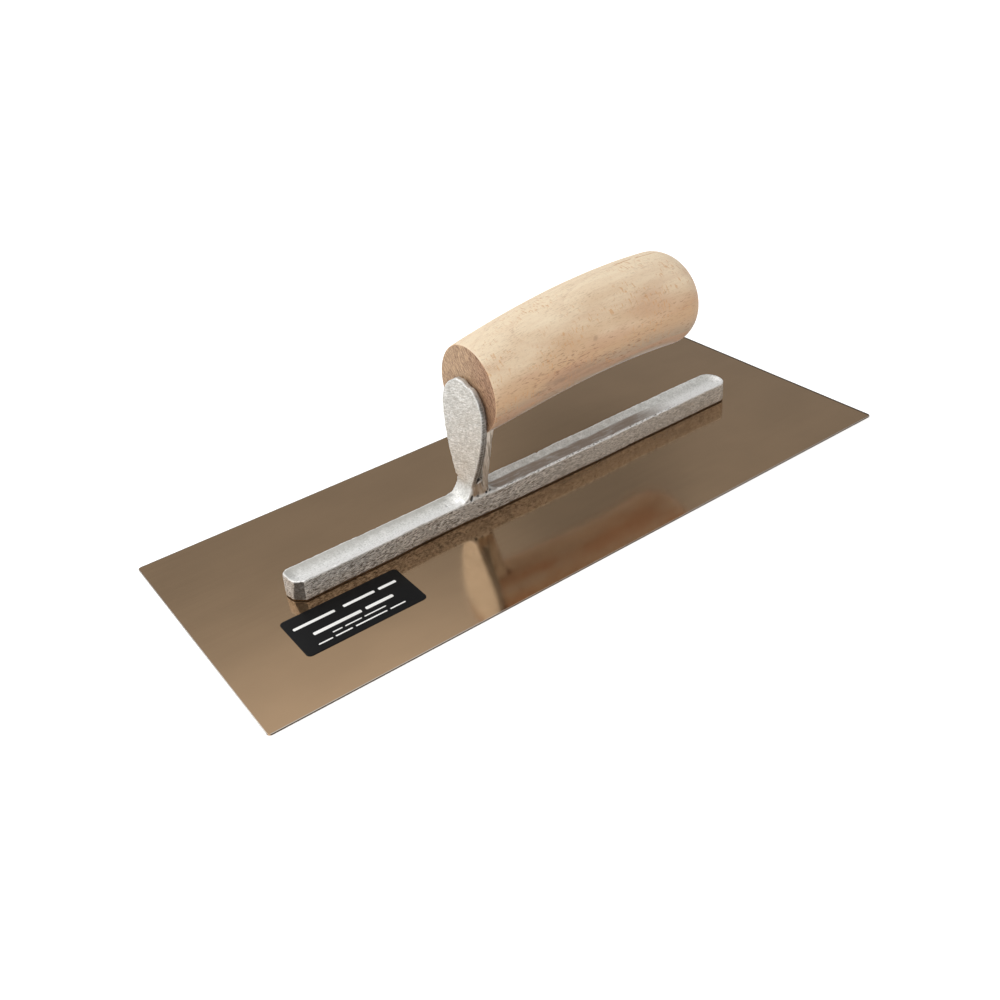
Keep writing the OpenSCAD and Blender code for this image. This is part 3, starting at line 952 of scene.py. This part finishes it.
def cast_material():
    s = Shader("cast_aluminium")
    side, wall, rim = s.attribute("side"), s.attribute("wall"), s.attribute("rim")
    face, hollow, burr = s.attribute("face"), s.attribute("hollow"), s.attribute("burr")
    pebble = s.noise((0.75, 0.75, 0.75), 4, 0.6)
    fine = s.noise((0.3, 0.3, 0.3), 2, 0.5)
    filed = s.noise((2.4, 2.4, 0.32), 2, 0.55, 0.25, (-0.3, 0, 0))
    coarse = s.noise((3.2, 3.2, 3.2), 3, 0.5)
    ground = s.noise((1.7, 0.45, 0.28), 3, 0.7, 0.4, (0, -0.06, 0))
    blotch = s.noise((11, 6, 4), 3, 0.55)
    light = s.mix(s.span(coarse, 0.35, 0.68), srgb(206, 205, 200), srgb(226, 225, 221))
    light = s.mix(s.times(s.span(pebble, 0.58, 0.36), 0.45), light, srgb(164, 162, 156))
    light = s.mix(s.times(face, s.span(filed, 0.56, 0.40, 0, 0.75)), light, srgb(166, 163, 156))
    # Side colour: ground, scratched metal, kept darker than the tops as painted shade, and lighter towards
    # the heel
    dark = s.mix(s.span(ground, 0.39, 0.60), srgb(94, 86, 77), srgb(236, 231, 224))
    dark = s.mix(s.times(s.span(blotch, 0.5, 0.72), 0.4), dark, srgb(150, 136, 122))
    dark = s.mix(s.span(s.axis("X"), -40, 50, 0, 0.42), dark, srgb(216, 208, 196))
    grain = s.span(pebble, 0.36, 0.56, 0.45, 1.0)
    # Painted highlight on the near half of the channels
    colour = s.mix(s.times(s.attribute("bowl"), grain), light, srgb(252, 251, 249))
    # Painted shade on the front channel's far wall
    colour = s.mix(s.times(s.attribute("far_wall"), 0.75), colour, srgb(186, 184, 178))
    colour = s.mix(side, colour, dark)
    streaks = s.span(s.noise((0.9, 0.9, 7), 3, 0.6, 0.3), 0.40, 0.60)
    ribbed = s.mix(streaks, srgb(160, 148, 132), srgb(236, 229, 218))
    # Painted shade: the rib turns darker and browner towards its foot
    ribbed = s.mix(s.span(s.axis("Z"), 30, 12, 0, 0.8), ribbed, srgb(164, 143, 121))
    colour = s.mix(s.attribute("rib"), colour, ribbed)
    # Painted shade and reflection of the handle over the rear channel, in patches
    patchy = s.span(s.noise((9, 2.2, 3), 4, 0.6), 0.3, 0.55, 0.6, 1.0)
    colour = s.mix(s.times(s.attribute("painted_handle_shade"), patchy), colour, srgb(140, 125, 112))
    # Painted shade on the paddle's upright thin wall, broken by file marks
    colour = s.mix(s.times(wall, s.span(filed, 0.4, 0.6, 0.7, 0.95)), colour, srgb(96, 92, 86))
    # Painted shade on the toe's near corner facet
    colour = s.mix(s.times(s.attribute("facet"), 0.8), colour, srgb(38, 35, 31))
    # Painted highlight along the bar's rims
    colour = s.mix(s.times(rim, 0.45), colour, srgb(236, 235, 232))
    # Painted highlight: bright glints broken by darker specks on the burred near rim
    sparkle = s.span(s.noise((1.3, 0.9, 0.9), 2, 0.5), 0.38, 0.45)
    ragged = s.mix(sparkle, srgb(120, 114, 106), srgb(250, 249, 247))
    colour = s.mix(s.times(burr, 0.9), colour, ragged)
    # Painted shade in hollows, pits and crevices
    cavity = s.span(hollow, 0.10, 0.55)
    colour = s.mix(s.times(cavity, 0.9), colour, srgb(46, 41, 36))
    worn = s.span(hollow, -0.25, -0.8)
    colour = s.mix(s.times(worn, 0.35), colour, srgb(236, 235, 232))
    # Painted shade in the gap round the foot, on upright surfaces only
    upright = s.span(s.math("ABSOLUTE", s.normal_axis("Z")), 0.9, 0.5)
    colour = s.mix(s.times(s.span(s.axis("Z"), 1.5, 1.15), upright), colour, srgb(26, 23, 20))
    rough = s.span(pebble, 0.3, 0.7, 0.52, 0.38)
    rough = s.math("ADD", rough, s.times(side, 0.12))
    rough = s.math("SUBTRACT", rough, s.times(burr, 0.15))
    grainy = s.times(pebble, s.span(s.attribute("far_wall"), 0, 1, 1, 0.3))
    s.bump((grainy, 0.14), (fine, 0.05), (s.times(filed, face), 0.16), (ground, 0.10))
    return s.finish(Base_Color=colour, Metallic=s.span(side, 0, 1, 0.7, 0.45), Roughness=rough)


def beech_material():
    s = Shader("beech")
    front = s.span(s.normal_axis("X"), -0.75, -0.9)
    up = s.normal_axis("Z")
    along, across = s.axis("X"), s.axis("Y")
    # Growth rings lie slanted across the handle; seen from the side they run along it
    ring = s.node("ShaderNodeTexWave", wave_type="BANDS", bands_direction="Z", wave_profile="SAW")
    s.link(s.scaled((170, 40, 14), (0.5, 0.05, 0.03)), ring.inputs["Vector"])
    for name, value in (("Scale", 1.0), ("Distortion", 2.0), ("Detail", 2.0), ("Detail Scale", 0.7)):
        ring.inputs[name].default_value = value
    ring = ring.outputs["Fac"]
    long_grain = s.noise((60, 3.2, 3.2), 4, 0.6, 0.2)
    cloud = s.noise((42, 17, 14), 2, 0.5)
    low = s.span(up, 0.75, -0.15)
    # Clouds of wood tone, with painted shade making the flanks more tan and the underside greyer, and painted
    # light making the downward-facing bottom pale grey
    tan = s.span(s.math("ADD", s.times(cloud, 0.7), s.times(up, -0.5)), -0.12, 0.38)
    colour = s.mix(tan, srgb(236, 217, 188), srgb(200, 165, 129))
    colour = s.mix(s.span(up, 0.0, -0.5, 0, 0.85), colour, srgb(174, 158, 139))
    colour = s.mix(s.span(up, -0.6, -0.85, 0, 0.9), colour, srgb(212, 212, 212))
    colour = s.mix(s.times(s.span(long_grain, 0.42, 0.66), 0.2), colour, srgb(212, 176, 142))
    colour = s.mix(s.times(s.span(ring, 0.7, 1.0), 0.12), colour, srgb(190, 146, 116))
    # A pinkish band of darker wood along the near flank, and one thin brown line on the far top
    band = s.times(s.span(s.noise((48, 9, 8), 2, 0.5), 0.48, 0.66), s.span(up, 0.85, 0.5))
    colour = s.mix(s.times(band, 0.55), colour, srgb(196, 153, 124))
    wander = s.times(s.noise((16, 9, 9), 3, 0.6), 3.0)
    line = s.math("ABSOLUTE", s.math("SUBTRACT", s.math("SUBTRACT", across, wander), 2.1))
    line = s.times(s.span(line, 0.4, 0.15), s.span(up, 0.7, 0.85), s.span(along, 50, 57))
    line = s.times(line, s.span(s.noise((7, 7, 7), 2, 0.5), 0.36, 0.46))
    colour = s.mix(s.times(line, 0.8), colour, srgb(186, 132, 76))
    # A warm cloud at the rear, two small knots, and a grey smudge low on the near flank
    warm = s.spot((58, -19, 72), (22, 9, 7), (0, 0.15, 0))
    colour = s.mix(s.times(warm, 0.45), colour, srgb(194, 150, 118))
    smudge = s.spot((19, -19.5, 56), (24, 9, 5.5), (0, 0.08, 0))
    smudge = s.times(smudge, s.span(long_grain, 0.40, 0.58, 0.3, 1.0))
    colour = s.mix(s.times(smudge, 0.42), colour, srgb(126, 104, 90))
    for place, reach in (((-3.6, -18.5, 53.8), (3.4, 3, 1.2)), ((26.4, -19.3, 67.8), (2.2, 3, 2.0))):
        knot = s.times(s.spot(place, reach, (0, -0.2, 0)), 0.55)
        colour = s.mix(knot, colour, srgb(134, 104, 82))
    # Ray flecks: short soft strokes across the grain, in patches
    ray = s.span(s.noise((0.75, 2.3, 2.3), 2, 0.45, 0.2), 0.57, 0.66)
    patch = s.span(s.noise((22, 9, 9), 2, 0.5), 0.42, 0.6)
    colour = s.mix(s.times(ray, patch, 0.6), colour, srgb(205, 154, 106))
    # Pores: fine dark dashes along the grain, thickest on the lower flank
    dash = s.span(s.noise((2.6, 0.36, 0.44), 2, 0.45, 0, (0, -0.05, 0.05)), 0.56, 0.65)
    thick = s.span(s.noise((16, 7, 7), 3, 0.55), 0.35, 0.62, 0.25, 1.0)
    dash = s.times(dash, thick, s.span(low, 0, 1, 0.3, 0.85))
    colour = s.mix(dash, colour, srgb(148, 110, 82))
    pore = s.span(s.noise((1.2, 0.16, 0.2), 2, 0.5), 0.60, 0.72)
    colour = s.mix(s.times(pore, 0.28), colour, srgb(150, 108, 78))
    # Darker patches on the underside
    underside_patches = s.span(s.noise((11, 5, 4), 3, 0.6), 0.57, 0.74)
    underside_patches = s.times(underside_patches, s.span(up, 0.1, -0.4))
    colour = s.mix(s.times(underside_patches, 0.45), colour, srgb(128, 106, 92))
    # End grain: slanted lines, redder and darker towards the near side
    grain_end = s.noise((3, 2.6, 0.36), 4, 0.7, 0.8, (0.85, 0, 0))
    end = s.mix(s.span(grain_end, 0.38, 0.60), srgb(126, 96, 72), srgb(196, 165, 132))
    near_end = s.mix(s.span(grain_end, 0.42, 0.56), srgb(92, 58, 42), srgb(158, 116, 90))
    end = s.mix(s.span(across, 5, -13, 0, 0.6), end, near_end)
    end = s.mix(s.times(pore, 0.3), end, srgb(110, 76, 56))
    colour = s.mix(front, colour, end)
    rough = s.span(long_grain, 0.3, 0.7, 0.5, 0.6)
    s.bump((long_grain, 0.015), (dash, -0.04), (pore, -0.03), (grain_end, 0.03))
    return s.finish(Base_Color=colour, Roughness=rough, Specular_IOR_Level=0.3)


def label_material():
    s = Shader("label_black")
    grain = s.noise((0.5, 0.5, 0.5), 3, 0.5)
    dust = s.span(s.noise((1.3, 1.3, 1.3), 4, 0.7), 0.62, 0.74)
    colour = s.mix(s.times(dust, 0.35), srgb(11, 11, 12), srgb(44, 43, 42))
    s.bump((grain, 0.006), (s.noise((14, 9, 9), 2, 0.5), 0.12))
    return s.finish(Base_Color=colour, Roughness=s.span(grain, 0.3, 0.7, 0.3, 0.42), Specular_IOR_Level=0.12)


def print_material():
    s = Shader("label_print")
    worn = s.span(s.noise((0.6, 0.6, 0.6), 3, 0.6), 0.62, 0.75)
    colour = s.mix(s.times(worn, 0.5), srgb(236, 235, 232), srgb(150, 148, 146))
    return s.finish(Base_Color=colour, Roughness=s.span(worn, 0, 1, 0.4, 0.6))


def plain_metal(name, light, dark, rough):
    s = Shader(name)
    turned = s.noise((0.5, 0.5, 0.5), 4, 0.6)
    tarnish = s.span(s.noise((3, 3, 3), 3, 0.6), 0.45, 0.7)
    colour = s.mix(s.times(tarnish, 0.7), light, dark)
    s.bump((turned, 0.012))
    return s.finish(Base_Color=colour, Metallic=1.0, Roughness=s.span(tarnish, 0, 1, rough, rough + 0.15))


MATERIALS = {
    "blade": blade_material(),
    "cast": cast_material(),
    "beech": beech_material(),
    "label": label_material(),
    "print": print_material(),
    "rivet": plain_metal("rivet_steel", srgb(200, 196, 188), srgb(140, 132, 120), 0.28),
    "screw": plain_metal("screw_steel", srgb(205, 205, 202), srgb(130, 126, 120), 0.25),
    "washer": plain_metal("washer_brass", srgb(214, 182, 110), srgb(140, 110, 66), 0.28),
}

for make, material in (
    (make_blade, "blade"),
    (make_mounting, "cast"),
    (make_handle, "beech"),
    (make_rivets, "rivet"),
    (make_screw, "screw"),
    (make_washer, "washer"),
):
    piece = make()
    piece.data.materials.clear()
    piece.data.materials.append(MATERIALS[material])
make_label()


# ------------------------------------------------------------------ stage, light and camera
def make_floor():
    floor_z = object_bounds()[0].z
    mesh = mesh_from("floor", [(-6, -6, 0), (6, -6, 0), (6, 6, 0), (-6, 6, 0)], [(0, 1, 2, 3)])
    floor = bpy.data.objects.new("floor", mesh)
    floor.location.z = floor_z - 0.0001
    bpy.context.scene.collection.objects.link(floor)
    s = Shader("floor_white")
    tone = s.noise((400, 400, 400), 2, 0.5)
    colour = s.mix(tone, (0.86, 0.86, 0.86, 1), (0.88, 0.88, 0.88, 1))
    look = {"Base_Color": colour, "Roughness": 0.9, "Specular_IOR_Level": 0.1}
    mesh.materials.append(s.finish(**look, Emission_Color=(1, 1, 1, 1), Emission_Strength=0.42))


def make_light(name, place, target, size, power, colour=(1, 1, 1)):
    data = bpy.data.lights.new(name, "AREA")
    data.shape, data.size, data.size_y, data.energy, data.color = "RECTANGLE", size[0], size[1], power, colour
    lamp = bpy.data.objects.new(name, data)
    lamp.location = place
    lamp.rotation_euler = (Vector(target) - Vector(place)).to_track_quat("-Z", "Y").to_euler()
    bpy.context.scene.collection.objects.link(lamp)


# Brightness of the surroundings by height, from the horizon at 0 to straight up at 1
SKY = ((0.2, 0.55), (0.4, 0.36), (0.574, 0.41), (0.61, 0.5), (0.64, 0.68), (0.68, 0.85))


def make_world():
    world = bpy.data.worlds.new("studio")
    bpy.context.scene.world = world
    world.use_nodes = True
    tree = world.node_tree
    back = tree.nodes["Background"]
    place = tree.nodes.new("ShaderNodeTexCoord")
    split = tree.nodes.new("ShaderNodeSeparateXYZ")
    ramp = tree.nodes.new("ShaderNodeValToRGB")
    tree.links.new(place.outputs["Generated"], split.inputs[0])
    tree.links.new(split.outputs["Z"], ramp.inputs["Fac"])
    for place_z, grey in SKY:
        step = ramp.color_ramp.elements.new(place_z)
        step.color = (grey, grey, grey, 1)
    ramp.color_ramp.elements[0].color = (0.72, 0.72, 0.72, 1)
    ramp.color_ramp.elements[-1].color = (0.95, 0.95, 0.95, 1)
    plain = tree.nodes.new("ShaderNodeBackground")
    plain.inputs["Color"].default_value = (1, 1, 1, 1)
    # A dark screen stands behind the heel on the far side; the blade mirrors it beside the bar
    facing = tree.nodes.new("ShaderNodeVectorMath")
    facing.operation = "DOT_PRODUCT"
    facing.inputs[1].default_value = (0.527, 0.650, 0.547)
    tree.links.new(place.outputs["Generated"], facing.inputs[0])
    shade = tree.nodes.new("ShaderNodeMapRange")
    shade.interpolation_type = "SMOOTHSTEP"
    for socket, value in zip(RANGE_SOCKETS, (0.9930, 0.9996, 1.0, 0.66)):
        shade.inputs[socket].default_value = value
    tree.links.new(facing.outputs["Value"], shade.inputs["Value"])
    dimmed = tree.nodes.new("ShaderNodeVectorMath")
    dimmed.operation = "SCALE"
    tree.links.new(ramp.outputs["Color"], dimmed.inputs[0])
    tree.links.new(shade.outputs["Result"], dimmed.inputs["Scale"])
    tree.links.new(dimmed.outputs["Vector"], back.inputs["Color"])
    rays = tree.nodes.new("ShaderNodeLightPath")
    both = tree.nodes.new("ShaderNodeMixShader")
    tree.links.new(rays.outputs["Is Camera Ray"], both.inputs["Fac"])
    tree.links.new(back.outputs[0], both.inputs[1])
    tree.links.new(plain.outputs[0], both.inputs[2])
    tree.links.new(both.outputs[0], tree.nodes["World Output"].inputs["Surface"])


def make_camera():
    data = bpy.data.cameras.new("camera")
    data.lens, data.sensor_width = 38.2347, 36
    camera = bpy.data.objects.new("camera", data)
    camera.location = (-0.221409, -0.314762, 0.248346)
    aim = Vector((-0.0138223, 0.00063289, 0)) - camera.location
    camera.rotation_mode = "QUATERNION"
    roll = Matrix.Rotation(math.radians(-5.3518), 4, "Z").to_quaternion()
    camera.rotation_quaternion = aim.to_track_quat("-Z", "Y") @ roll
    data.clip_start, data.clip_end = 0.01, 50
    bpy.context.scene.collection.objects.link(camera)
    bpy.context.scene.camera = camera


make_floor()
make_world()
make_light("key", (-0.85, 0.95, 1.05), (0, 0, 0), (1.6, 1.4), 11.5)
make_light("front", (-1.4, -0.5, 0.9), (0, 0, 0.03), (1.2, 1.0), 8)
make_camera()
bpy.context.scene.view_settings.view_transform = "Standard"
bpy.context.scene.view_settings.look = "None"
bpy.context.scene.view_settings.exposure = 0.0
